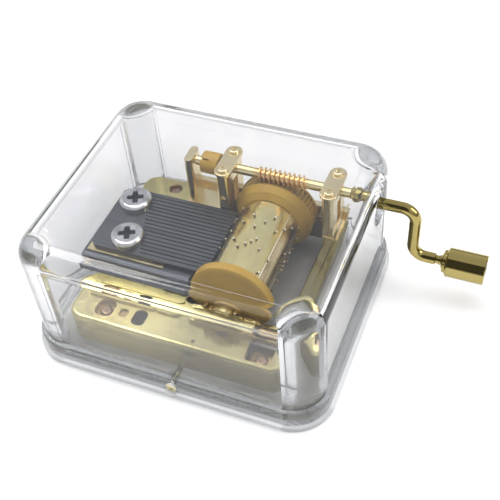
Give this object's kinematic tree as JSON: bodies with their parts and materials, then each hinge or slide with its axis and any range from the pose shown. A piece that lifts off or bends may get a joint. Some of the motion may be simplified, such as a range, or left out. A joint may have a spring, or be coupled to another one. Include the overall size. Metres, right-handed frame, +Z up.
{
  "type": "hand-crank music box",
  "caption": "Hand-crank music box movement with comb and pinned cylinder in a clear rounded case, worm-driven by a bent crank with a turned knob.",
  "frame": {"origin": "centre of the underside of the base plate, in the plane that the case stands on", "axes": "+X from the comb side through the wall with the shaft hole towards the crank knob, +Y towards the worm shaft side, +Z up"},
  "size_m": [0.0889, 0.0572, 0.032],
  "materials": {
    "clear_plastic": "polished clear acrylic",
    "frosted_plastic": "satin clear acrylic",
    "bed_metal": "zinc-plated die casting, pale yellow, satin",
    "bracket_metal": "yellow-zinc casting, bright",
    "comb_steel": "ground spring steel, dark slate",
    "screw_nickel": "bright nickel",
    "cylinder_brass": "satin, pale",
    "amber_plastic": "translucent amber nylon",
    "shaft_metal": "bright",
    "crank_metal": "polished plating",
    "pin_metal": "dark bronze, satin",
    "worm_bronze": "bronze, satin",
    "screw_bronze": "bronze plating, bright"
  },
  "bodies": {
    "case": {"base_plate": "frosted_plastic", "cover": "clear_plastic", "lock_pin": "pin_metal", "bedplate": "bed_metal", "bedplate_screws": "screw_bronze", "comb_block": "comb_steel", "comb_shim": "bracket_metal", "comb": "comb_steel", "comb_weights": "comb_steel", "comb_screws": "screw_nickel", "crank_bracket": "bracket_metal", "bracket_screws": "screw_bronze", "strap_left": "bracket_metal", "strap_right": "bracket_metal", "strap_rivets": "bracket_metal", "front_bracket": "shaft_metal", "front_clip": "shaft_metal", "front_rivets": "shaft_metal"},
    "crank": {"worm_shaft": "shaft_metal", "worm": "worm_bronze", "shaft_bush": "amber_plastic", "crank_rod": "crank_metal"},
    "cylinder": {"cylinder_tube": "cylinder_brass", "cylinder_pins": "pin_metal", "front_disc": "amber_plastic", "worm_wheel": "amber_plastic", "cylinder_arbor": "shaft_metal"},
    "knob": {"crank_knob": "crank_metal", "knob_plug": "crank_metal"}
  },
  "joints": [
    {"name": "crank_spin", "type": "hinge", "parent": "case", "child": "crank", "pos_m": [0, 0.017, 0.0231], "axis": [1, 0, 0], "continuous": true},
    {"name": "cylinder_spin", "type": "hinge", "parent": "case", "child": "cylinder", "pos_m": [0.008, 0, 0.013], "axis": [0, 1, 0], "continuous": true},
    {"name": "knob_spin", "type": "hinge", "parent": "crank", "child": "knob", "pos_m": [0.05, 0.017, 0.0101], "axis": [1, 0, 0], "continuous": true}
  ],
  "couplings": [
    {"joint": "cylinder_spin", "follows": "crank_spin", "ratio": -0.02}
  ]
}
